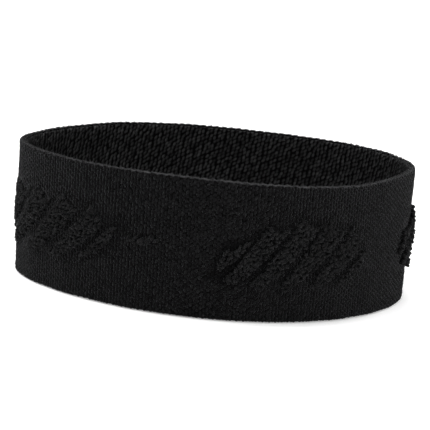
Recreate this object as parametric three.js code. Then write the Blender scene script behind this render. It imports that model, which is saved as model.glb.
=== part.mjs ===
// Two-layer knitted sports headband, standing on its lower edge.
// Millimetres, +Z up, +X along the long side of the oval. Offsets into the wall run from the
// outer face (0) towards the opening; negative offsets stand out from the outer face.
import * as THREE from "three";

// Overall sizes
const HEIGHT = 60;
const HALF_LENGTH = 92.1;
const HALF_WIDTH = 56.2;

// Shape of the oval, as shares of the half sizes
const LENGTH_THIRD_WAVE = -0.023;
const WIDTH_THIRD_WAVE = -0.06;
const WIDTH_SECOND_WAVE = 0.042;

// Wall build-up, from the outer face inwards
const OUTER_KNIT = 1.3;
const LINING_KNIT = 1.2;
const ELASTIC_DIAMETER = 0.7;
const CLEARANCE = 0.3;
const EDGE_RADIUS = 1.2;
const LINK_THREAD_DIAMETER = 0.8;

// Laid-in elastic
const ELASTIC_TURNS = 7;
const ELASTIC_SIDES = 4;
const ELASTIC_EDGE_MARGIN = 5;

// Raised pile. Each repeat starts at an end of the oval, less the lead, and holds these motifs
// in order. Edge heights are measured from the middle of the wall's height.
const REPEATS = 2;
const PILE_LEAD = 27.2;
const PILE_HEIGHT = 2.1;
const PILE_EDGE_SHARE = 0.45;
const PILE_SLANT = 0.4;
const TOOTH_SHARE = 0.16;
const MOTIFS = [
  {
    name: "taper",
    length: 91.3,
    gapAfter: 6.6,
    lowEnd: -12,
    lowMiddle: -16.8,
    highEnd: 9.6,
    highMiddle: 15.6,
    teeth: 6,
  },
  {
    name: "tail",
    length: 14,
    gapAfter: 28.6,
    lowEnd: -0.6,
    lowMiddle: -0.9,
    highEnd: 2.7,
    highMiddle: 3.3,
    teeth: 1,
  },
  {
    name: "block",
    length: 66.5,
    gapAfter: 0,
    lowEnd: -13.8,
    lowMiddle: -16.2,
    highEnd: 4.8,
    highMiddle: 17.4,
    teeth: 5,
  },
];

// Facets
const STATIONS = 72;
const ARC_STEPS = 4;
const THREAD_SIDES = 6;
const PILE_ROWS = 7;
const PILE_STEP = 3.1;
const SHORTEST_MOTIF_STEPS = 4;
const CURVE_SAMPLES = 2880;

// Sizes that follow from the ones above
const CHANNEL = ELASTIC_DIAMETER + 2 * CLEARANCE;
const LINING_OUTER = OUTER_KNIT + CHANNEL;
const WALL = LINING_OUTER + LINING_KNIT;
const LINK_OFFSET = WALL - LINK_THREAD_DIAMETER / 2;
const LIP_END = LINK_OFFSET - LINK_THREAD_DIAMETER / 2 - CLEARANCE;
const LINK_DROP = LINK_THREAD_DIAMETER / 2;
const LINING_DROP = LINK_DROP + LINK_THREAD_DIAMETER / 2 + CLEARANCE;

// Oval of the outer face as a closed list of points with their distance round the oval
function tracedOval() {
  const points = [];
  let travelled = 0;
  for (let i = 0; i <= CURVE_SAMPLES; i++) {
    const t = (2 * Math.PI * i) / CURVE_SAMPLES;
    const x = HALF_LENGTH * (Math.cos(t) + LENGTH_THIRD_WAVE * Math.cos(3 * t));
    const second = WIDTH_SECOND_WAVE * Math.sin(2 * t);
    const y = HALF_WIDTH * (Math.sin(t) + WIDTH_THIRD_WAVE * Math.sin(3 * t) + second);
    if (i > 0) {
      travelled += Math.hypot(x - points[i - 1].x, y - points[i - 1].y);
    }
    points.push({ x, y, travelled });
  }
  return points;
}

const OVAL = tracedOval();
const GIRTH = OVAL[CURVE_SAMPLES].travelled;

// Point of the wall at a distance round the oval, an offset into the wall and a height
function wallPoint(distance, offset, z) {
  const wrapped = ((distance % GIRTH) + GIRTH) % GIRTH;
  let low = 0;
  let high = CURVE_SAMPLES;
  while (high - low > 1) {
    const middle = (low + high) >> 1;
    if (OVAL[middle].travelled <= wrapped) {
      low = middle;
    } else {
      high = middle;
    }
  }
  const from = OVAL[low];
  const to = OVAL[high];
  const share = (wrapped - from.travelled) / (to.travelled - from.travelled);
  const step = Math.hypot(to.x - from.x, to.y - from.y);
  const outX = (to.y - from.y) / step;
  const outY = -(to.x - from.x) / step;
  const x = from.x + share * (to.x - from.x) - offset * outX;
  const y = from.y + share * (to.y - from.y) - offset * outY;
  return new THREE.Vector3(x, y, z);
}

// Signed volume of an indexed triangle list
function signedVolume(points, faces) {
  let volume = 0;
  for (const [i, j, k] of faces) {
    volume += points[i].dot(new THREE.Vector3().crossVectors(points[j], points[k])) / 6;
  }
  return volume;
}

// Closed solid through a run of equal cross-sections, joined end to end or capped
function loft(sections, joined) {
  const sides = sections[0].length;
  const points = sections.flat();
  const faces = [];
  const spans = joined ? sections.length : sections.length - 1;
  for (let i = 0; i < spans; i++) {
    const here = i * sides;
    const next = ((i + 1) % sections.length) * sides;
    for (let j = 0; j < sides; j++) {
      const k = (j + 1) % sides;
      faces.push([here + j, next + j, next + k]);
      faces.push([here + j, next + k, here + k]);
    }
  }
  if (!joined) {
    const last = (sections.length - 1) * sides;
    for (let j = 1; j < sides - 1; j++) {
      faces.push([0, j, j + 1]);
      faces.push([last, last + j + 1, last + j]);
    }
  }
  if (signedVolume(points, faces) < 0) {
    faces.forEach((face) => face.reverse());
  }
  const geometry = new THREE.BufferGeometry();
  const flat = points.flatMap((p) => [p.x, p.y, p.z]);
  geometry.setAttribute("position", new THREE.Float32BufferAttribute(flat, 3));
  geometry.setIndex(faces.flat());
  geometry.computeVertexNormals();
  return geometry;
}

// Ring with one cross-section of [offset, height] corners all the way round
function ringOf(corners) {
  const sections = [];
  for (let i = 0; i < STATIONS; i++) {
    const distance = (GIRTH * i) / STATIONS;
    sections.push(corners.map(([offset, z]) => wallPoint(distance, offset, z)));
  }
  return loft(sections, true);
}

// Quarter turn from one direction to the next about a centre
function quarter(centreOffset, centreZ, radius, startDegrees, endDegrees) {
  const corners = [];
  for (let i = 0; i <= ARC_STEPS; i++) {
    const angle = THREE.MathUtils.degToRad(startDegrees + ((endDegrees - startDegrees) * i) / ARC_STEPS);
    corners.push([centreOffset + radius * Math.cos(angle), centreZ + radius * Math.sin(angle)]);
  }
  return corners;
}

// Outer knit: the outer face, turned in over the top and bottom edges of the wall
function outerKnit() {
  const bend = EDGE_RADIUS;
  const upper = HEIGHT - bend;
  const corners = [
    [LIP_END, 0],
    ...quarter(bend, bend, bend, 270, 180),
    ...quarter(bend, upper, bend, 180, 90),
    [LIP_END, HEIGHT],
    [LIP_END, HEIGHT - OUTER_KNIT],
    [OUTER_KNIT, HEIGHT - OUTER_KNIT],
    [OUTER_KNIT, OUTER_KNIT],
    [LIP_END, OUTER_KNIT],
  ];
  return ringOf(corners);
}

// Lining knit: the coarser face against the head, between the two edge joints
function liningKnit() {
  const chamfer = LINING_KNIT / 3;
  const low = LINING_DROP;
  const high = HEIGHT - LINING_DROP;
  const behindLip = OUTER_KNIT + CLEARANCE;
  return ringOf([
    [LIP_END + CLEARANCE, low],
    [WALL - chamfer, low],
    [WALL, low + chamfer],
    [WALL, high - chamfer],
    [WALL - chamfer, high],
    [LIP_END + CLEARANCE, high],
    [LIP_END + CLEARANCE, HEIGHT - behindLip],
    [LINING_OUTER, HEIGHT - behindLip],
    [LINING_OUTER, behindLip],
    [LIP_END + CLEARANCE, behindLip],
  ]);
}

// Thread that joins the turned-in edge to the lining, in the groove between them
function linkThread(height) {
  const corners = [];
  for (let i = 0; i < THREAD_SIDES; i++) {
    const angle = (2 * Math.PI * i) / THREAD_SIDES;
    const reach = LINK_THREAD_DIAMETER / 2;
    corners.push([LINK_OFFSET + reach * Math.cos(angle), height + reach * Math.sin(angle)]);
  }
  return ringOf(corners);
}

// Elastic yarn laid between the two layers as one rising coil
function elasticYarn() {
  const sections = [];
  const steps = STATIONS * ELASTIC_TURNS;
  const centre = OUTER_KNIT + CHANNEL / 2;
  const rise = HEIGHT - 2 * ELASTIC_EDGE_MARGIN;
  for (let i = 0; i <= steps; i++) {
    const distance = (GIRTH * i) / STATIONS;
    const z = ELASTIC_EDGE_MARGIN + (rise * i) / steps;
    const section = [];
    for (let j = 0; j < ELASTIC_SIDES; j++) {
      const angle = (2 * Math.PI * j) / ELASTIC_SIDES;
      const reach = ELASTIC_DIAMETER / 2;
      section.push(wallPoint(distance, centre + reach * Math.cos(angle), z + reach * Math.sin(angle)));
    }
    sections.push(section);
  }
  return loft(sections, false);
}

// Lower and upper edge of a motif at a share of its length, with pointed teeth on both edges
function motifEdges(motif, share) {
  const swell = Math.sin(Math.PI * share);
  const low = HEIGHT / 2 + motif.lowEnd + (motif.lowMiddle - motif.lowEnd) * swell;
  const high = HEIGHT / 2 + motif.highEnd + (motif.highMiddle - motif.highEnd) * swell;
  const phase = (share * motif.teeth) % 1;
  const deepest = TOOTH_SHARE * (high - low);
  const tooth = deepest * Math.abs(2 * phase - 1);
  return { low: low + tooth, high: high - deepest + tooth };
}

// Raised pile patch that follows the outer face, leaning towards +distance with height
function pilePatch(motif, start) {
  const steps = Math.max(SHORTEST_MOTIF_STEPS, Math.round(motif.length / PILE_STEP));
  const sections = [];
  for (let i = 0; i <= steps; i++) {
    const share = i / steps;
    const { low, high } = motifEdges(motif, share);
    const crown = [];
    const foot = [];
    for (let row = 0; row < PILE_ROWS; row++) {
      const up = row / (PILE_ROWS - 1);
      const z = low + (high - low) * up;
      const distance = start + motif.length * share + PILE_SLANT * (z - HEIGHT / 2);
      const dome = PILE_EDGE_SHARE + (1 - PILE_EDGE_SHARE) * Math.sin(Math.PI * up);
      crown.push(wallPoint(distance, -CLEARANCE - PILE_HEIGHT * dome, z));
      foot.unshift(wallPoint(distance, -CLEARANCE, z));
    }
    sections.push([...crown, ...foot]);
  }
  return loft(sections, false);
}

function material(name, colour, roughness) {
  return new THREE.MeshStandardMaterial({ name, color: colour, roughness, metalness: 0 });
}

const outerYarn = material("outer_yarn", 0x17171a, 0.9);
const liningYarn = material("lining_yarn", 0x131315, 0.95);
const elasticCover = material("elastic_yarn", 0x2a2a2c, 0.7);
const linkYarn = material("link_thread", 0x202022, 0.8);
const pileYarn = material("pile_yarn", 0x121214, 1);

const headband = new THREE.Group();
headband.name = "sports_headband";

function add(name, geometry, yarn) {
  const mesh = new THREE.Mesh(geometry, yarn);
  mesh.name = name;
  headband.add(mesh);
}

add("outer_knit", outerKnit(), outerYarn);
add("lining_knit", liningKnit(), liningYarn);
add("elastic_yarn", elasticYarn(), elasticCover);
add("top_link_thread", linkThread(HEIGHT - LINK_DROP), linkYarn);
add("bottom_link_thread", linkThread(LINK_DROP), linkYarn);
for (let repeat = 0; repeat < REPEATS; repeat++) {
  let start = (GIRTH * (repeat + 1)) / REPEATS - PILE_LEAD;
  for (const motif of MOTIFS) {
    add(`pile_${motif.name}_${repeat + 1}`, pilePatch(motif, start), pileYarn);
    start += motif.length + motif.gapAfter;
  }
}

// Centre the outline on the origin, so that the oval's box is centred over the lower edge
const box = new THREE.Box3().setFromObject(headband);
const middle = box.getCenter(new THREE.Vector3());
headband.children.forEach((mesh) => mesh.geometry.translate(-middle.x, -middle.y, 0));

export default headband;
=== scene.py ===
import math

import bpy
import numpy as np
from mathutils import Matrix, Vector


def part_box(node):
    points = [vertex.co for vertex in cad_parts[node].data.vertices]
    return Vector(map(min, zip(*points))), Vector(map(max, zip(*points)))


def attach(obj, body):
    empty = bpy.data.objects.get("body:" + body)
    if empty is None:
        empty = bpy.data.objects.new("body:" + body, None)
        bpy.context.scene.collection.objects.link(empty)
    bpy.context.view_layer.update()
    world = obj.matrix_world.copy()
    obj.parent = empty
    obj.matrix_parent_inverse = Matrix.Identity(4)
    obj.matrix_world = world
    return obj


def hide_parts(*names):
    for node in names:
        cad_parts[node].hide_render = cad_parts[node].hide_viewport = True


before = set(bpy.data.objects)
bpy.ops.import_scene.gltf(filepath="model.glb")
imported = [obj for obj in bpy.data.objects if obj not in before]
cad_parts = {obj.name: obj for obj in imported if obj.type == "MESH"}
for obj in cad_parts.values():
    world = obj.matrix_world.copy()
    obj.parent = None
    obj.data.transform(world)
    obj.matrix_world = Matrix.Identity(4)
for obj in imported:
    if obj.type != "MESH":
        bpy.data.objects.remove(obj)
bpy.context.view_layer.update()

# The script builds a two-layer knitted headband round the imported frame. Lengths are in metres.
# A place on the wall is a distance round the oval, an offset into the wall from the outer face
# and a height. A place on a knit is a distance round the oval and a distance along its profile.
MM = 0.001

# ---------------------------------------------------------------- sizes read from the frame


def box_size(node):
    """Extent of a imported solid's box."""
    low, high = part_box(node)
    return high - low


OUTER_SIZE = box_size("outer_knit")
HEIGHT = OUTER_SIZE.z
LINING_BACK = (OUTER_SIZE.x - box_size("lining_knit").x) / 2
ELASTIC_TOP = (OUTER_SIZE.x - box_size("elastic_yarn").x) / 2
LINK_START = (OUTER_SIZE.x - box_size("top_link_thread").x) / 2
LINK_RADIUS = box_size("top_link_thread").z / math.sqrt(3)
LINK_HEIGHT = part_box("top_link_thread")[0].z / 2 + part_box("top_link_thread")[1].z / 2

# Sizes of the soft build that the frame's boxes don't show
LAYER_GAP = 0.3 * MM
LINING_THICKNESS = 1.2 * MM
OUTER_BACK = ELASTIC_TOP - LAYER_GAP
WALL = LINING_BACK + LINING_THICKNESS
ELASTIC_RADIUS = 0.35 * MM
ELASTIC_TURNS = 7
ELASTIC_STEPS = 2600
ELASTIC_RIDGE = 0.06
ELASTIC_RIDGE_STEPS = 6
ELASTIC_PLY_PITCH = 1.1 * MM
LINK_LOOPS = 130
LINK_YARN_RADIUS = 0.2 * MM
LINK_SWAY = 0.36 * MM
LINK_RISE = 0.22 * MM
LINK_PLY_PITCH = 0.4 * MM

# Raised pile, laid out as in the frame: each repeat starts ahead of an end of the oval.
# Lengths, gaps and the low and high edges (at the ends and in the middle) are in millimetres.
REPEATS = 2
PILE_LEAD = 27.2 * MM
PILE_SLANT = 0.4
PILE_STAND = 1.35 * MM
BAR_SLANT = 0.75
PILE_PITCH = 1.4 * MM
PILE_COURSE = 1.35 * MM
TOOTH_SHARE = 0.16
TAIL_TUFTS = 5
TAIL_SLANT = 0.5
MOTIFS = {
    "taper": dict(length=91.3, gap=6.6, low=(-12, -16.8), high=(9.6, 15.6), teeth=6),
    "tail": dict(length=14, gap=28.6, low=(-0.6, -0.9), high=(2.7, 3.3), teeth=1),
    "block": dict(length=66.5, gap=0, low=(-13.8, -16.2), high=(4.8, 17.4), teeth=5),
}

# Pile loops: mesh steps and sides of one loop, its twist, where it roots in the knit, and how
# much the knit round it is flattened and darkened with painted shade. Fullness under PILE_LEAST
# grows no loop.
LOOP_STEPS = 14
LOOP_SIDES = 8
LOOP_PLY_PITCH = 0.85 * MM
PILE_ROOT = 0.25 * MM
PILE_LEAST = 0.3
FLAT_UNDER_PILE = 0.5
PAINTED_SHADE_UNDER_PILE = 0.6

# The two knits. course is a stitch's height, per_column and per_course are mesh steps, relief is
# how far stitches stand out, back and inset place the hidden face. The rest is the look of a
# stitch: strays in place and lean, sizes as shares of the gauge, and the lattice's skew.
KNITS = {
    "outer_knit": dict(
        slot="outer_yarn", facing=1, held="folded", columns=328, course=2.05 * MM, seed=11,
        per_column=6, per_course=8, relief=0.55 * MM, back=OUTER_BACK, inset=1.2 * MM,
        stray=0.24, lean=0.04, vee=0.18, lean_stray=0.5, long=0.56, wide=0.49,
        uneven=0.4, round=0.85, skew=0.0),
    "lining_knit": dict(
        slot="lining_yarn", facing=-1, held="stretched", columns=228, course=2.0 * MM, seed=23,
        per_column=7, per_course=8, relief=0.8 * MM, back=LINING_BACK, inset=0.8 * MM,
        stray=0.4, lean=0.45, vee=0.0, lean_stray=0.7, long=0.66, wide=0.4,
        uneven=0.4, round=0.6, skew=0.14),
}
ARCS = 8
# Twist of the yarn within a stitch: its pitch along and across, and a random start
PLY_PITCH = 0.55 * MM
PLY_WIDTH = 2.2 * PLY_PITCH
PLY_START = 40
# The stitch height that lies on the profile line, slow unevenness, and the stretch beside an
# edge where the stitches calm down and where they die out
STITCH_LEVEL = 0.75
DRIFT = 0.16 * MM
CALM_REACH = 5 * MM
LIP_REACH = 0.5 * MM

# How far the lower edge has shifted along +X against the upper one, as soft fabric stands
LEAN = 1.5 * MM
# The edges: radius of the upper and the lower fold, and scallops at the pitch of the link loops
FOLD_BEND = 1.3 * MM
FOOT_BEND = 0.8 * MM
LINING_BEND = 0.6 * MM
EDGE_REACH = 3 * MM
SCALLOP = 0.45 * MM
# The painted highlight line on the upper fold: its angle round the bend and its width, in radians
HIGHLIGHT_ANGLE = 1.2
HIGHLIGHT_WIDTH = 0.25
# Rise of the soft upper rim, as (distance round the oval, rise) in millimetres
RIM_RISE = ((0, 1.3), (25, 1.3), (45, 1.0), (70, 0.4), (95, 0.3), (130, 1.0), (165, 1.5),
            (185, 1.0), (205, 0.5), (222, 0.1), (245, 0.2), (280, 0.1), (325, 1.0), (345, 0.8),
            (365, 0.4), (385, -0.1), (408, -0.3), (425, 0.7), (440, 1.7), (455, 1.7), (468, 1.3))


# ---------------------------------------------------------------- the oval


def hull(points):
    """Convex hull of 2D points, anticlockwise, without repeats."""
    points = sorted({(round(x, 7), round(y, 7)) for x, y in points})

    def side(run):
        kept = []
        for p in run:
            while len(kept) > 1:
                (ax, ay), (bx, by) = kept[-2], kept[-1]
                if (bx - ax) * (p[1] - ay) - (by - ay) * (p[0] - ax) > 1e-12:
                    break
                kept.pop()
            kept.append(p)
        return kept[:-1]

    return np.array(side(points) + side(points[::-1]))


def edge_shift(turn, z):
    """How far the soft edges scallop and rise at a share of the way round and a height."""
    low = np.clip(1 - z / EDGE_REACH, 0, 1.2)
    high = np.clip(1 - (HEIGHT - z) / EDGE_REACH, 0, 1.2)
    scallop = SCALLOP * (1 - np.abs(np.sin(math.pi * LINK_LOOPS * turn)) ** 0.8)
    places, rises = np.array(RIM_RISE).T
    rise = np.interp(turn * places[-1], places, rises) * MM
    return (0.3 * low - high) * scallop + rise * np.clip(z / HEIGHT, 0, 1) ** 2


class Oval:
    """Smooth closed curve through the outer knit's own stations, measured by distance."""

    SAMPLES = 8192

    def __init__(self, node):
        co = np.array([v.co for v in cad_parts[node].data.vertices])
        ring = hull(co[:, :2])
        start = np.argmin(np.abs(np.arctan2(ring[:, 1], ring[:, 0])))
        ring = np.roll(ring, -start, axis=0)
        count = len(ring)
        waves = np.fft.fft(ring[:, 0] + 1j * ring[:, 1]) / count
        order = np.fft.fftfreq(count, 1 / count)
        phase = np.linspace(0, 2 * math.pi, self.SAMPLES + 1)
        curve = np.zeros(len(phase), complex)
        for wave, k in zip(waves, order):
            curve += wave * np.exp(1j * k * phase)
        step = np.abs(np.diff(curve))
        self.distance = np.concatenate([[0], np.cumsum(step)])
        self.girth = float(self.distance[-1])
        self.x, self.y = curve.real, curve.imag
        turn = np.gradient(curve, phase)
        self.out_x, self.out_y = (turn / np.abs(turn)).imag, -(turn / np.abs(turn)).real

    def at(self, distance, offset, z):
        """Points of the wall, as an array with one more axis than its inputs."""
        distance, offset, z = np.broadcast_arrays(distance, offset, z)
        lean = LEAN * (0.5 - z / HEIGHT)
        d = np.mod(distance, self.girth)
        z = z + edge_shift(d / self.girth, z)
        nx, ny = (np.interp(d, self.distance, v) for v in (self.out_x, self.out_y))
        x = np.interp(d, self.distance, self.x) - offset * nx + lean
        y = np.interp(d, self.distance, self.y) - offset * ny
        return np.stack([x, y, z], -1)


OVAL = Oval("outer_knit")
GIRTH = OVAL.girth


def wobble(s, z, seed, size, shortest=14 * MM, waves=9):
    """Slow unevenness of hand-handled fabric, periodic round the oval."""
    rng = np.random.default_rng(seed)
    total = 0
    for _ in range(waves):
        turns = int(rng.integers(2, int(GIRTH / shortest)))
        rise = rng.uniform(-1, 1) * 2 * math.pi / (2.2 * shortest)
        shift = rng.uniform(0, 2 * math.pi)
        total = total + np.sin(2 * math.pi * turns * s / GIRTH + rise * z + shift)
    return size * total / math.sqrt(waves)


# ---------------------------------------------------------------- meshes


def mesh_object(name, points, quads, caps=(), sharp=()):
    """A piece from points, quads and a few many-sided caps, shaded smooth except at caps."""
    mesh = bpy.data.meshes.new(name)
    corners = np.concatenate([np.asarray(quads).ravel(), *caps]).astype(np.int32)
    sizes = np.array([4] * len(quads) + [len(c) for c in caps])
    starts = np.concatenate([[0], np.cumsum(sizes)[:-1]]).astype(np.int32)
    mesh.vertices.add(len(points))
    mesh.vertices.foreach_set("co", np.asarray(points, np.float32).ravel())
    mesh.loops.add(len(corners))
    mesh.loops.foreach_set("vertex_index", corners)
    mesh.polygons.add(len(sizes))
    mesh.polygons.foreach_set("loop_start", starts)
    mesh.update(calc_edges=True)
    smooth = np.ones(len(sizes), bool)
    smooth[len(quads):] = False
    mesh.polygons.foreach_set("use_smooth", smooth)
    if len(sharp):
        ends = np.empty(len(mesh.edges) * 2, np.int32)
        mesh.edges.foreach_get("vertices", ends)
        marked = np.zeros(len(points), bool)
        marked[np.asarray(sharp)] = True
        both = marked[ends.reshape(-1, 2)].all(axis=1)
        mesh.attributes.new("sharp_edge", "BOOLEAN", "EDGE").data.foreach_set("value", both)
    mesh.validate()
    piece = bpy.data.objects.new(name, mesh)
    bpy.context.scene.collection.objects.link(piece)
    return piece


def point_values(piece, name, values):
    """Stores one number for each point of a piece, for its material to read."""
    attribute = piece.data.attributes.new(name, "FLOAT", "POINT")
    attribute.data.foreach_set("value", np.asarray(values, np.float32).ravel())


def closed_strip(name, front, back):
    """Closed solid between a fine front sheet and a plain back sheet on the same columns."""
    columns, rows = front.shape[:2]
    loop = np.concatenate([front, back[:, ::-1]], axis=1)
    around = loop.shape[1]
    i = np.arange(columns - 1)[:, None] * around
    j = np.arange(around)[None, :]
    k = (j + 1) % around
    quads = np.stack([i + j, i + around + j, i + around + k, i + k], -1).reshape(-1, 4)
    first = np.arange(around)
    last = first + (columns - 1) * around
    edges = np.concatenate([first, last, np.arange(columns) * around + rows - 1,
                            np.arange(columns) * around])
    piece = mesh_object(name, loop.reshape(-1, 3), quads, (first, last[::-1]), edges)
    return piece, rows, around


def tubes(paths, radius, sides, thin_ends=1.0):
    """Points, quads and end caps of many round tubes; paths is (tube, step, 3)."""
    paths = np.asarray(paths, float)
    count, steps = paths.shape[:2]
    along = np.gradient(paths, axis=1)
    along /= np.linalg.norm(along, axis=2, keepdims=True) + 1e-12
    chord = paths[:, -1] - paths[:, 0]
    bow = paths[:, steps // 2] - (paths[:, 0] + paths[:, -1]) / 2
    normal = np.cross(chord, bow)
    weak = np.linalg.norm(normal, axis=1) < 1e-12
    normal[weak] = np.cross(chord[weak], (0.3, 0.5, 0.8))
    normal = np.repeat(normal[:, None], steps, 1)
    side_a = normal - (normal * along).sum(2, keepdims=True) * along
    side_a /= np.linalg.norm(side_a, axis=2, keepdims=True) + 1e-12
    side_b = np.cross(along, side_a)
    turn = np.arange(sides) * 2 * math.pi / sides
    share = np.abs(np.linspace(-1, 1, steps)) ** 4
    width = np.asarray(radius) * np.ones((count, steps)) if np.ndim(radius) < 3 else np.asarray(radius)
    taper = 1 - (1 - thin_ends) * share
    width = width.reshape(count, steps, -1) * taper[:, None]
    ring = (side_a[:, :, None] * np.cos(turn)[:, None] + side_b[:, :, None] * np.sin(turn)[:, None])
    points = paths[:, :, None] + ring * width[..., None]
    points[..., 2] = np.maximum(points[..., 2], 0.02 * MM)
    base = np.arange(count)[:, None, None] * steps * sides
    i = base + np.arange(steps - 1)[None, :, None] * sides
    j = np.arange(sides)[None, None, :]
    k = (j + 1) % sides
    quads = np.stack([i + j, i + k, i + sides + k, i + sides + j], -1).reshape(-1, 4)
    starts = np.arange(count) * steps * sides
    caps = [c for b in starts
            for c in (b + np.arange(sides)[::-1], b + (steps - 1) * sides + np.arange(sides))]
    return points.reshape(-1, 3), quads, caps


# ---------------------------------------------------------------- knit


def stitch_lattice(knit, s, w):
    """Height, tint and place along the yarn of a half-drop lattice of leaning stitches."""
    columns, course = knit["columns"], knit["course"]
    pitch = GIRTH / columns
    s = s - knit["skew"] * w
    rows = int(np.max(w) / course) + 6
    rng = np.random.default_rng(knit["seed"])
    chance = rng.random((columns, rows, 5))
    column = np.floor(s / pitch)
    height = np.zeros(np.broadcast(s, w).shape)
    tint = np.zeros_like(height)
    ply = np.zeros_like(height)
    for side in (-1, 0, 1):
        c = column + side
        drop = course / 2 * np.mod(c, 2)
        row = np.round((w - drop) / course)
        for up in (-1, 0, 1):
            r = row + up
            dice = chance[np.mod(c, columns).astype(int) + 0 * r.astype(int), r.astype(int) + 2]
            centre_s = (c + 0.5 + knit["stray"] * (dice[..., 0] - 0.5)) * pitch
            centre_w = r * course + drop + knit["stray"] * (dice[..., 1] - 0.5) * course
            lean = knit["lean"] + knit["vee"] * (2 * np.mod(c, 2) - 1)
            lean = lean + knit["lean_stray"] * (dice[..., 2] - 0.5)
            ds, dw = s - centre_s, w - centre_w
            along = ds * np.sin(lean) + dw * np.cos(lean)
            across = ds * np.cos(lean) - dw * np.sin(lean)
            reach = (along / (knit["long"] * course)) ** 2 + (across / (knit["wide"] * pitch)) ** 2
            bump = np.clip(1 - reach, 0, None) ** knit["round"] * (1 - knit["uneven"] * dice[..., 3])
            twist = along / PLY_PITCH + across / PLY_WIDTH + PLY_START * dice[..., 4]
            higher = bump > height
            height = np.where(higher, bump, height)
            tint = np.where(higher, dice[..., 4], tint)
            ply = np.where(higher, twist, ply)
    return height, tint, ply


def outer_profile():
    """Points (offset, z) down the outer knit's visible side, from lip to lip."""
    bend, foot = FOLD_BEND, FOOT_BEND
    lip = LINK_START - LAYER_GAP
    dip = 0.22 * MM
    arc = np.linspace(0, math.pi / 2, 9)
    low_bend = [(foot - foot * math.sin(a), foot - foot * math.cos(a)) for a in arc]
    high_bend = [(bend - bend * math.sin(a), HEIGHT - bend + bend * math.cos(a)) for a in arc]
    return np.array([(lip, dip)] + low_bend + high_bend[::-1] + [(lip, HEIGHT - dip)])


def lining_profile():
    """Points (offset, z) up the lining's visible side, from its upper edge to its lower."""
    top = LINK_HEIGHT - LINK_RADIUS - 0.1 * MM
    bend = LINING_BEND
    arc = np.linspace(0, math.pi / 2, 5)
    back = LINK_START + 0.1 * MM
    high = [(WALL - bend + bend * math.sin(a), top - bend + bend * math.cos(a)) for a in arc]
    low = [(o, HEIGHT - z) for o, z in high[::-1]]
    return np.array([(back, top)] + high + low + [(back, HEIGHT - top)])


def walk(profile, rows):
    """Evenly spaced points along a profile, their outward normals and distances."""
    step = np.linalg.norm(np.diff(profile, axis=0), axis=1)
    run = np.concatenate([[0], np.cumsum(step)])
    w = np.linspace(0, run[-1], rows)
    offset, z = (np.interp(w, run, profile[:, k]) for k in (0, 1))
    soft = np.ones(5) / 5
    slopes = [np.pad(np.gradient(v, w), 2, mode="edge") for v in (offset, z)]
    turn = np.stack([np.convolve(slope, soft, "valid") for slope in slopes], -1)
    turn /= np.linalg.norm(turn, axis=1, keepdims=True)
    return w, offset, z, turn[:, 1], -turn[:, 0]


def fold_painted_highlight(s, offset, z):
    """Pale painted highlight along the shoulder of the upper fold, uneven round the oval."""
    angle = np.arctan2(z - (HEIGHT - FOLD_BEND), np.maximum(FOLD_BEND - offset, 1e-9))
    line = np.exp(-((angle - HIGHLIGHT_ANGLE) / HIGHLIGHT_WIDTH) ** 2) * (z > HEIGHT - 2 * FOLD_BEND)
    patchy = 0.42 + wobble(s, z, 77, 0.36, 4 * MM, 18)
    # The painted highlight is stronger on the long sides than at the two ends.
    long_side = 0.35 + 0.65 * np.sin(2 * math.pi * s / GIRTH) ** 2
    return np.clip(line * patchy * long_side, 0, 1)


def pile_shadow(s, z):
    """How far a place lies inside or close to a raised motif, from 0 to 1."""
    most = np.zeros(np.broadcast(s, z).shape)
    for name, _, start in motif_starts():
        share, up = motif_place(name, start, s, z)
        near = np.clip(1.12 - np.abs(share - 0.5) * 2, 0, 0.12) / 0.12
        most = np.maximum(most, near * np.clip((1.25 - np.abs(up - 0.5) * 2) / 0.3, 0, 1))
    return most


def motif_starts():
    """Every motif as (name, repeat, distance where it starts)."""
    found = []
    for repeat in range(REPEATS):
        start = GIRTH * (repeat + 1) / REPEATS - PILE_LEAD
        for name, motif in MOTIFS.items():
            found.append((name, repeat + 1, start))
            start += (motif["length"] + motif["gap"]) * MM
    return found


def motif_place(name, start, s, z):
    """Share of a motif's length and share of its local height at a place."""
    motif = MOTIFS[name]
    length = motif["length"] * MM
    q = s - start - PILE_SLANT * (z - HEIGHT / 2)
    q = np.mod(q + GIRTH / 2, GIRTH) - GIRTH / 2
    q = np.where(q < -GIRTH / 4, q + GIRTH, q)
    share = q / length
    swell = np.sin(math.pi * np.clip(share, 0, 1))
    low, high = (HEIGHT / 2 + MM * (motif[k][0] + (motif[k][1] - motif[k][0]) * swell)
                 for k in ("low", "high"))
    deepest = TOOTH_SHARE * (high - low)
    tooth = deepest * np.abs(2 * np.mod(share * motif["teeth"], 1) - 1)
    low, high = low + tooth, high - deepest + tooth
    return share, (z - low) / (high - low)


def knit_layer(node, profile, material):
    """The layer as arcs of one seamless knit, each a closed panel with its stitches raised."""
    knit = KNITS[node]
    length = np.linalg.norm(np.diff(profile, axis=0), axis=1).sum()
    line = walk(profile, int(length / knit["course"] * knit["per_course"]))
    for arc in range(ARCS):
        piece = knit_arc(node, arc, line, length)
        dress(piece, material, node)


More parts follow.
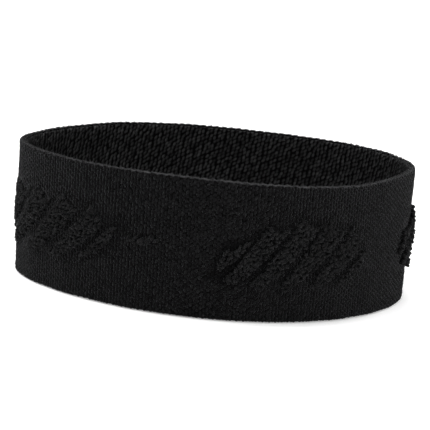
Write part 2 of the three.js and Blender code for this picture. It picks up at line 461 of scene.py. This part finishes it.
def knit_arc(node, arc, line, length):
    """One arc: the profile line pushed out by its stitches, closed by a plain hidden face."""
    knit = KNITS[node]
    columns, facing = knit["columns"], knit["facing"]
    w, offset, z, out_offset, out_z = line
    first, last = (round(columns * edge / ARCS) for edge in (arc, arc + 1))
    s = np.linspace(first, last, (last - first) * knit["per_column"] + 1) * GIRTH / columns
    s, w, offset, z = s[:, None], w[None, :], offset[None, :], z[None, :]
    height, tint, ply = stitch_lattice(knit, s, w)
    shadow = pile_shadow(s, z) if facing > 0 else 0
    edge = np.clip(np.minimum(w, length - w) / CALM_REACH, 0, 1)
    ends = np.clip(np.minimum(w, length - w) / LIP_REACH, 0, 1)
    calm = (0.55 + 0.45 * edge) * (1 - FLAT_UNDER_PILE * shadow)
    drift = wobble(s, z, knit["seed"] + 7, DRIFT) * edge * ends
    push = knit["relief"] * calm * (height - STITCH_LEVEL) * ends + drift
    front = OVAL.at(s, offset - push * out_offset * facing, np.maximum(z - push * out_z * facing, 0))
    back_offset = np.array([offset[0, 0], knit["back"], knit["back"], offset[0, -1]])
    back_z = z[0, [0, 0, -1, -1]] + facing * knit["inset"] * np.array([1, 2, -2, -1])
    back = OVAL.at(s, back_offset, back_z)
    piece, front_rows, around = closed_strip(f"{node}_arc_{arc + 1}", front, back)
    # Painted highlight along the shoulder of the upper fold, on the outer knit only.
    rim_highlight = fold_painted_highlight(s, offset, z) if facing > 0 else 0
    # Painted shade: the knit in and round the pile is darkened in colour.
    height = height * (1 - PAINTED_SHADE_UNDER_PILE * shadow)
    values_by_name = dict(stitch_height=height, stitch_tint=tint, rim_painted_highlight=rim_highlight, ply=ply)
    for name, values in values_by_name.items():
        whole = np.full((len(s), around), 0.5 if name == "stitch_tint" else 0.0)
        whole[:, :front_rows] = values
        point_values(piece, name, whole)
    return piece


# ---------------------------------------------------------------- threads

# Threads take a fixed height, so the painted gap shade stays light along them.
THREAD_HEIGHT = 0.85


def twist_run(paths, pitch):
    """How many turns of its twist each thread has made at each of its steps."""
    step = np.linalg.norm(np.diff(paths, axis=1), axis=2)
    return np.concatenate([np.zeros((len(paths), 1)), np.cumsum(step, 1)], 1) / pitch


def yarn_values(piece, paths, sides, pitch, tint):
    """Values the yarn colour reads along threads: tint, evenly raised, and place in the twist."""
    count, steps = paths.shape[:2]
    tints = np.broadcast_to(tint, (count, steps)).ravel()
    point_values(piece, "stitch_tint", np.repeat(tints, sides))
    point_values(piece, "stitch_height", np.full(count * steps * sides, THREAD_HEIGHT))
    point_values(piece, "ply", twist_run(paths, pitch)[..., None] + np.arange(sides) / sides)


def elastic_yarn(material):
    """Covered elastic laid between the layers as one rising coil, with the wrap's ridges."""
    low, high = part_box("elastic_yarn")
    share = np.linspace(0, 1, ELASTIC_STEPS)
    s = share * ELASTIC_TURNS * GIRTH
    z = low.z + ELASTIC_RADIUS + share * (high.z - low.z - 2 * ELASTIC_RADIUS)
    path = OVAL.at(s, ELASTIC_TOP + ELASTIC_RADIUS, z)
    ridge = 1 + ELASTIC_RIDGE * np.sin(share * ELASTIC_STEPS * 2 * math.pi / ELASTIC_RIDGE_STEPS)
    points, quads, caps = tubes(path[None], (ELASTIC_RADIUS * 0.9 * ridge)[None], 8)
    piece = mesh_object("elastic_yarn_coil", points, quads, caps)
    tint = np.random.default_rng(32).random((1, ELASTIC_STEPS))
    yarn_values(piece, path[None], 8, ELASTIC_PLY_PITCH, tint)
    return dress(piece, material, "elastic_yarn")


def link_thread(node, middle, material):
    """Row of chained loops lying in the groove between the turned-in edge and the lining."""
    pitch, count = GIRTH / LINK_LOOPS, LINK_LOOPS
    rng = np.random.default_rng(31)
    t = np.linspace(0, 1, 15)[None, :]
    start = (np.arange(count) * pitch)[:, None] + rng.uniform(-0.1, 0.1, (count, 1)) * pitch
    lobe = np.sin(math.pi * t)
    reach = np.where(t < 0.5, t, 1 - t) * 2
    s = start + pitch * (1.28 * np.sin(reach * math.pi / 2) - 0.1)
    side = np.sign(0.5 - t) * np.sin(reach * math.pi) ** 0.8
    offset = LINK_START + LINK_RADIUS + side * LINK_SWAY
    up = np.sign(middle - HEIGHT / 2)
    z = middle + up * (0.05 * MM + LINK_RISE * lobe * (reach > 0.5) - 0.1 * MM * (reach < 0.2))
    paths = OVAL.at(s, offset, z)
    points, quads, caps = tubes(paths, LINK_YARN_RADIUS, 6)
    piece = mesh_object(node + "_chain", points, quads, caps)
    yarn_values(piece, paths, 6, LINK_PLY_PITCH, rng.random((count, 1)))
    return dress(piece, material, node)


def dress(piece, material, node):
    """Gives a piece its material and body and, unless node is None, hides the node it replaces."""
    piece.data.materials.append(material)
    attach(piece, "root")
    if node:
        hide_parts(node)
    return piece


# ---------------------------------------------------------------- pile


def pile_presence(name, share, up):
    """How full the pile stands at a place of a motif: leaning bars with narrow valleys between."""
    bars = MOTIFS[name]["teeth"]
    phase = np.mod(share * bars - BAR_SLANT * (up - 0.5) + 0.5, 1)
    bar = np.clip((0.42 - np.abs(phase - 0.5)) / 0.14, 0, 1)
    rounded = 0.5 * np.sqrt(np.clip(np.minimum(share, 1 - share) / 0.14, 0, 1))
    inside = (share > 0) & (share < 1) & (np.abs(up - 0.5) < 0.16 + 0.66 * rounded)
    if name == "tail":
        tuft = np.mod(share * TAIL_TUFTS - TAIL_SLANT * (up - 0.5), 1)
        bar = np.clip((0.4 - np.abs(tuft - 0.5)) / 0.1, 0, 1)
    return inside * bar


def pressed(s):
    """Share of the pile's height round the oval: flattened at one folded end, proud at the other."""
    to_fold = np.abs(s - GIRTH / 2)
    to_end = np.abs(np.mod(s + GIRTH / 4, GIRTH) - GIRTH / 4 + 10 * MM)
    return 1 - 0.35 * np.exp(-(to_fold / (16 * MM)) ** 2) + 0.6 * np.exp(-(to_end / (14 * MM)) ** 2)


def pile_loops(name, start, seed):
    """Centre lines of the yarn loops that stand in a motif's bars, and how thick each is."""
    rng = np.random.default_rng(seed)
    reach = MOTIFS[name]["length"] * MM
    columns = int(reach * 1.7 / PILE_PITCH)
    rows = int(HEIGHT / PILE_COURSE)
    c, r = np.meshgrid(np.arange(columns), np.arange(rows), indexing="ij")
    s = start - reach * 0.35 + (c + rng.uniform(-0.4, 0.4, c.shape)) * PILE_PITCH
    z = (r + 0.5 * (c % 2) + rng.uniform(-0.4, 0.4, c.shape)) * PILE_COURSE
    share, up = motif_place(name, start, s, z)
    full = pile_presence(name, share, up)
    keep = full > PILE_LEAST
    s, z, full, up = (v[keep][:, None] for v in (s, z, full, up))
    count = len(s)
    t = np.linspace(0, 1, LOOP_STEPS)[None, :]
    turn = rng.normal(0.7, 0.6, (count, 1))
    width = rng.uniform(0.35, 0.55, (count, 1)) * MM
    dome = 0.75 + 0.45 * np.sin(math.pi * np.clip(up, 0, 1))
    stand = rng.uniform(0.75, 1.2, (count, 1)) * PILE_STAND * (0.45 + 0.55 * full) * dome * pressed(s)
    swing = rng.normal(0, 0.25, (count, 1)) * MM
    droop = rng.uniform(0.0, 0.6, (count, 1)) * MM
    arch = np.sin(math.pi * t) ** 0.6
    across = -np.cos(math.pi * t) * width * (1 + 0.3 * np.sin(math.pi * t))
    ds = across * np.cos(turn) + swing * arch
    dz = across * np.sin(turn) - droop * arch ** 2
    paths = OVAL.at(s + ds, PILE_ROOT - stand * arch, z + dz)
    return paths, rng.uniform(0.34, 0.54, (count, 1)) * MM * np.ones_like(t)


def pile_motif(name, repeat, start, material):
    """The loops of one motif, each with the ridges of its two twisted plies."""
    paths, thick = pile_loops(name, start, 100 + 10 * repeat + len(name))
    run = twist_run(paths, LOOP_PLY_PITCH)
    side = np.arange(LOOP_SIDES) / LOOP_SIDES
    ridge = np.cos(2 * math.pi * (run[..., None] + 2 * side))
    rng = np.random.default_rng(200 + repeat + len(name))
    lumps = rng.uniform(-0.07, 0.07, ridge.shape)
    points, quads, caps = tubes(paths, thick[..., None] * (0.95 + 0.09 * ridge + lumps), LOOP_SIDES)
    piece = mesh_object(f"pile_{name}_{repeat}_loops", points, quads, caps)
    point_values(piece, "stitch_tint", np.repeat(rng.random(len(paths)), LOOP_STEPS * LOOP_SIDES))
    # Painted shade: each loop's colour darkens towards its roots in the knit.
    rise = np.sin(np.linspace(0, math.pi, LOOP_STEPS))[None, :, None] * (0.8 + 0.2 * ridge)
    point_values(piece, "stitch_height", rise)
    point_values(piece, "ply", np.repeat(run.ravel(), LOOP_SIDES) * 2)
    return dress(piece, material, f"pile_{name}_{repeat}")


# ---------------------------------------------------------------- loose fibres

FIBRE_STEPS = 4
FIBRE_ROOT = 0.05 * MM
FIBRE_PLY_PITCH = 0.3 * MM


def fibres(name, count, place, seed, material, longest=1.6 * MM, radius=0.022 * MM):
    """Loose fibre ends that stand off a face; place gives (distance, offset, z, out, up)."""
    rng = np.random.default_rng(seed)
    s, offset, z, out, up = place(rng, count)
    count = len(s)
    t = np.linspace(0, 1, FIBRE_STEPS)[None, :]
    long = (rng.random((count, 1)) ** 2 * 0.8 + 0.2) * longest
    curl = rng.normal(0, 0.6, (3, count, 1)) * long
    lean = rng.normal(0, 0.8, (2, count, 1)) * long
    ds = lean[0] * t + curl[0] * t ** 2
    dz = up[:, None] * long * t * 0.8 + lean[1] * t * 0.6 + curl[1] * t ** 2
    do = out[:, None] * long * (t - 0.45 * t ** 2 * np.abs(curl[2] / long))
    paths = OVAL.at(s[:, None] + ds, offset[:, None] - do, z[:, None] + dz)
    points, quads, caps = tubes(paths, radius, 3, thin_ends=0.5)
    piece = mesh_object(name, points, quads, caps)
    yarn_values(piece, paths, 3, FIBRE_PLY_PITCH, rng.random((count, 1)))
    return dress(piece, material, None)


def on_outer_face(rng, count):
    """Places all over the outer knit's face."""
    s = rng.random(count) * GIRTH
    z = rng.uniform(1.5, HEIGHT / MM - 1.5, count) * MM
    return s, np.full(count, FIBRE_ROOT), z, np.ones(count), rng.normal(0, 0.2, count)


def on_top_fold(rng, count):
    """Places along the shoulder of the upper fold."""
    s = rng.random(count) * GIRTH
    angle = rng.normal(0.4, 0.1, count) * math.pi
    bend = FOLD_BEND
    offset = bend - bend * np.cos(angle)
    z = HEIGHT - bend + bend * np.sin(angle)
    return s, offset, z, np.cos(angle) * 0.8, np.sin(angle) * 0.8


def on_pile(rng, count):
    """Places on the raised motifs, a little below the tops of their loops."""
    s, z = rng.random(count * 12) * GIRTH, rng.uniform(10, 50, count * 12) * MM
    full = np.zeros(len(s))
    for name, _, start in motif_starts():
        share, up = motif_place(name, start, s, z)
        full = np.maximum(full, pile_presence(name, share, up))
    kept = np.flatnonzero(full > PILE_LEAST)[:count]
    s, z = s[kept], z[kept]
    offset = -PILE_STAND * pressed(s) * rng.uniform(0.4, 1.1, len(kept))
    return s, offset, z, np.ones(len(kept)), rng.normal(0, 0.4, len(kept))


def on_lining_face(rng, count):
    """Places all over the lining's face, pointing into the opening."""
    s = rng.random(count) * GIRTH
    z = rng.uniform(2, HEIGHT / MM - 2, count) * MM
    return s, np.full(count, WALL - FIBRE_ROOT), z, -np.ones(count), rng.normal(0, 0.2, count)


# ---------------------------------------------------------------- materials

# Yarns: colour in the gaps (painted shade) and on the crowns, roughness, sheen, how fast the
# painted gap shade deepens (power) and how even the tints are. The yarns are close to black and
# the lint is dark grey.
YARNS = {
    "outer_yarn": dict(dark=(0.0010, 0.0010, 0.0011), light=(0.0192, 0.0192, 0.0197),
                       rough=0.92, sheen=0.28, power=0.95, even=0.24),
    "lining_yarn": dict(dark=(0.0004, 0.0004, 0.0005), light=(0.084, 0.084, 0.085),
                        rough=0.94, sheen=0.05),
    "pile_yarn": dict(dark=(0.0010, 0.0010, 0.0011), light=(0.030, 0.030, 0.0305),
                      rough=0.95, sheen=0.22, power=1.1, even=0.2),
    "link_thread": dict(dark=(0.004, 0.004, 0.0042), light=(0.018, 0.018, 0.019),
                        rough=0.8, sheen=0.02),
    "elastic_yarn": dict(dark=(0.006, 0.006, 0.0065), light=(0.02, 0.02, 0.02),
                         rough=0.6, sheen=0.02),
    "lint": dict(dark=(0.035, 0.035, 0.036), light=(0.075, 0.075, 0.077), rough=0.9, sheen=0.1),
    # Lint on the upper fold: real fuzz, its paler colour a painted highlight along the rim.
    "rim_lint_painted_highlight": dict(dark=(0.09, 0.09, 0.092), light=(0.14, 0.14, 0.143), rough=0.9, sheen=0.05),
}
# Pale colour of the painted highlight on the upper fold
RIM_HIGHLIGHT_COLOUR = (0.12, 0.12, 0.123)
YARN_GLOSS = 0.05


class Nodes:
    """Small helper that adds nodes to a material's tree."""

    def __init__(self, material):
        material.use_nodes = True
        self.tree = material.node_tree
        self.shader = self.tree.nodes["Principled BSDF"]

    def add(self, kind, **values):
        node = self.tree.nodes.new(kind)
        for key, value in values.items():
            if hasattr(node, key):
                setattr(node, key, value)
            else:
                node.inputs[key].default_value = value
        return node

    def link(self, a, b):
        self.tree.links.new(a, b)

    def math(self, operation, a, b):
        node = self.add("ShaderNodeMath", operation=operation)
        for socket, value in zip(node.inputs, (a, b)):
            if isinstance(value, (int, float)):
                socket.default_value = value
            else:
                self.link(value, socket)
        return node.outputs[0]

    def value(self, name):
        return self.add("ShaderNodeAttribute", attribute_name=name).outputs["Fac"]

    def scaled(self, value, low, high, to_low, to_high):
        node = self.add("ShaderNodeMapRange")
        for socket, number in zip(node.inputs[1:5], (low, high, to_low, to_high)):
            socket.default_value = number
        self.link(value, node.inputs[0])
        return node.outputs[0]

    def blend(self, share, first, second):
        """Colour from first to second, each a plain colour or a socket."""
        node = self.add("ShaderNodeMix", data_type="RGBA")
        self.link(share, node.inputs[0])
        for socket, colour in ((node.inputs[6], first), (node.inputs[7], second)):
            if isinstance(colour, tuple):
                socket.default_value = (*colour, 1)
            else:
                self.link(colour, socket)
        return node.outputs[2]

    def noise(self, scale, detail=3.0, rough=0.6):
        node = self.add("ShaderNodeTexNoise", Scale=scale, Detail=detail, Roughness=rough)
        self.link(self.coords, node.inputs["Vector"])
        return node.outputs["Fac"]

    @property
    def coords(self):
        if not hasattr(self, "_coords"):
            self._coords = self.add("ShaderNodeTexCoord").outputs["Object"]
        return self._coords


def yarn_material(name, dark, light, rough, sheen, power=1.5, even=0.15):
    """Black spun yarn: painted shade in the gaps, tint by stitch, mottling, painted highlight on the
    upper fold, fibre bump and a faint sheen.
    """
    material = bpy.data.materials.new(name)
    n = Nodes(material)
    tint = n.math("MULTIPLY", n.value("stitch_tint"), 0.55)
    fine = n.math("MULTIPLY", n.noise(3600.0, 2.0), 0.5)
    cloud = n.math("MULTIPLY", n.noise(95.0, 3.0), 0.35)
    varied = n.math("ADD", n.math("ADD", tint, fine), n.math("ADD", cloud, even))
    # Painted shade: the colour darkens from the crowns into the gaps, following stitch_height.
    crown = n.math("POWER", n.value("stitch_height"), power)
    wave = n.math("SINE", n.math("MULTIPLY", n.value("ply"), 2 * math.pi), 0.0)
    twist = n.scaled(wave, -1.0, 1.0, 0.0, 1.0)
    crown = n.math("MULTIPLY", crown, n.scaled(twist, 0.0, 1.0, 0.5, 1.25))
    ramp = n.scaled(n.math("MULTIPLY", crown, varied), 0.03, 1.2, 0.0, 1.0)
    yarn = n.blend(ramp, dark, light)
    # Painted highlight: the pale colour is blended in along the upper fold, in patches.
    highlight_share = n.math("MULTIPLY", n.value("rim_painted_highlight"), n.scaled(n.noise(1500.0, 3.0), 0.35, 0.6, 0.2, 1.0))
    highlighted = n.blend(highlight_share, yarn, RIM_HIGHLIGHT_COLOUR)
    n.link(highlighted, n.shader.inputs["Base Color"])
    mottled = n.scaled(n.noise(900.0, 2.0), 0.3, 0.7, rough - 0.08, min(1.0, rough + 0.06))
    n.link(mottled, n.shader.inputs["Roughness"])
    hairs = n.math("MULTIPLY", n.noise(6500.0, 2.0), 0.7)
    strands = n.math("ADD", n.math("MULTIPLY", twist, 0.5), hairs)
    bump = n.add("ShaderNodeBump")
    bump.inputs["Strength"].default_value = 0.9
    bump.inputs["Distance"].default_value = 0.0002
    n.link(strands, bump.inputs["Height"])
    n.link(bump.outputs[0], n.shader.inputs["Normal"])
    n.shader.inputs["Specular IOR Level"].default_value = YARN_GLOSS
    n.shader.inputs["Sheen Weight"].default_value = sheen
    n.shader.inputs["Sheen Roughness"].default_value = 0.1
    n.shader.inputs["Sheen Tint"].default_value = (0.95, 0.96, 1.0, 1)
    return material


def floor_material():
    """Plain pale floor that stays white under the studio light."""
    material = bpy.data.materials.new("floor")
    n = Nodes(material)
    n.shader.inputs["Base Color"].default_value = (0.93, 0.93, 0.93, 1)
    n.shader.inputs["Emission Color"].default_value = (1, 1, 1, 1)
    n.shader.inputs["Emission Strength"].default_value = 0.25
    n.shader.inputs["Roughness"].default_value = 0.9
    return material


# ---------------------------------------------------------------- studio

FLOOR_REACH = 6.0
FLOOR_GAP = 0.2 * MM
# Soft boxes as (name, place, size, power): the strips behind the band pale its two outlines
SOFT_BOXES = (
    ("right_strip", (0.8, 0.55, 0.3), (0.35, 0.6), 4.6),
    ("left_strip", (-0.75, 0.65, 0.35), (0.35, 0.6), 3.6),
    ("right_front", (0.8, -0.4, 0.22), (0.35, 0.6), 2.2),
    ("left_high", (-0.4, 0.0, 0.85), (0.35, 0.35), 2.8),
)
# The camera's direction (azimuth, elevation) and roll in degrees, and its place and lens
CAMERA_ANGLES = (-7.27, 14.5, 5.56)
CAMERA_DISTANCE = 0.665
CAMERA_SHIFT = 0.55 * MM
LENS = 121.6
SENSOR = 36


def area_light(name, place, size, power):
    """Soft box of a size (across, up) that faces the middle of the band."""
    light = bpy.data.lights.new(name, "AREA")
    light.shape, light.size, light.size_y = "RECTANGLE", *size
    light.energy = power
    lamp = bpy.data.objects.new(name, light)
    lamp.location = place
    lamp.rotation_mode = "QUATERNION"
    lamp.rotation_quaternion = (Vector((0, 0, HEIGHT / 2)) - Vector(place)).to_track_quat("-Z", "Y")
    bpy.context.scene.collection.objects.link(lamp)


def overhead_light(strength, degrees):
    """Broad even light from above, which also keeps the floor pale all over."""
    light = bpy.data.lights.new("overhead", "SUN")
    light.energy, light.angle = strength, math.radians(degrees)
    lamp = bpy.data.objects.new("overhead", light)
    lamp.rotation_euler = (math.radians(-8), math.radians(-10), 0)
    bpy.context.scene.collection.objects.link(lamp)


def studio():
    """Pale floor, white surroundings and the lights."""
    reach = FLOOR_REACH
    points = [(-reach, -reach, 0), (reach, -reach, 0), (reach, reach, 0), (-reach, reach, 0)]
    floor = mesh_object("floor", np.array(points), np.array([[0, 1, 2, 3]]))
    floor.location.z = -FLOOR_GAP
    floor.data.materials.append(floor_material())
    world = bpy.data.worlds.new("studio")
    bpy.context.scene.world = world
    world.use_nodes = True
    background = world.node_tree.nodes["Background"]
    background.inputs["Color"].default_value = (1, 1, 1, 1)
    background.inputs["Strength"].default_value = 0.35
    overhead_light(2.9, 60)
    for name, place, box, power in SOFT_BOXES:
        area_light(name, place, box, power)
    bpy.context.scene.view_settings.view_transform = "Standard"


def camera():
    """Long lens, a little above the rim, rolled a few degrees as the photographed view is."""
    azimuth, elevation, roll = (math.radians(a) for a in CAMERA_ANGLES)
    back = Vector((math.sin(azimuth) * math.cos(elevation),
                   -math.cos(azimuth) * math.cos(elevation), math.sin(elevation)))
    right = Vector((math.cos(azimuth), math.sin(azimuth), 0))
    up = back.cross(right)
    tilted_right = right * math.cos(roll) + up * math.sin(roll)
    tilted_up = up * math.cos(roll) - right * math.sin(roll)
    data = bpy.data.cameras.new("camera")
    data.lens, data.sensor_width = LENS, SENSOR
    cam = bpy.data.objects.new("camera", data)
    cam.rotation_mode = "QUATERNION"
    turn = Matrix((tilted_right, tilted_up, back)).transposed()
    cam.rotation_quaternion = turn.to_quaternion()
    middle = Vector((0, 0, HEIGHT / 2))
    cam.location = middle + back * CAMERA_DISTANCE + tilted_up * CAMERA_SHIFT
    bpy.context.scene.collection.objects.link(cam)
    bpy.context.scene.camera = cam


# ---------------------------------------------------------------- build


def build():
    """Every piece of the band, with its material."""
    yarn = {name: yarn_material(name, **look) for name, look in YARNS.items()}
    knit_layer("outer_knit", outer_profile(), yarn["outer_yarn"])
    knit_layer("lining_knit", lining_profile(), yarn["lining_yarn"])
    elastic_yarn(yarn["elastic_yarn"])
    link_thread("top_link_thread", LINK_HEIGHT, yarn["link_thread"])
    link_thread("bottom_link_thread", HEIGHT - LINK_HEIGHT, yarn["link_thread"])
    for name, repeat, start in motif_starts():
        pile_motif(name, repeat, start, yarn["pile_yarn"])
    lint, pale = yarn["lint"], yarn["rim_lint_painted_highlight"]
    fibres("outer_fibres_1", 9000, on_outer_face, 41, lint, 1.1 * MM)
    fibres("outer_fibres_2", 9000, on_outer_face, 44, lint)
    # Fibres on the upper fold; their paler lint is a painted highlight along the rim.
    fibres("rim_fibres", 8000, on_top_fold, 42, pale, 0.5 * MM, 0.03 * MM)
    fibres("pile_fibres", 8000, on_pile, 45, lint, 1.0 * MM)
    fibres("lining_fibres", 8000, on_lining_face, 43, lint)


build()
studio()
camera()
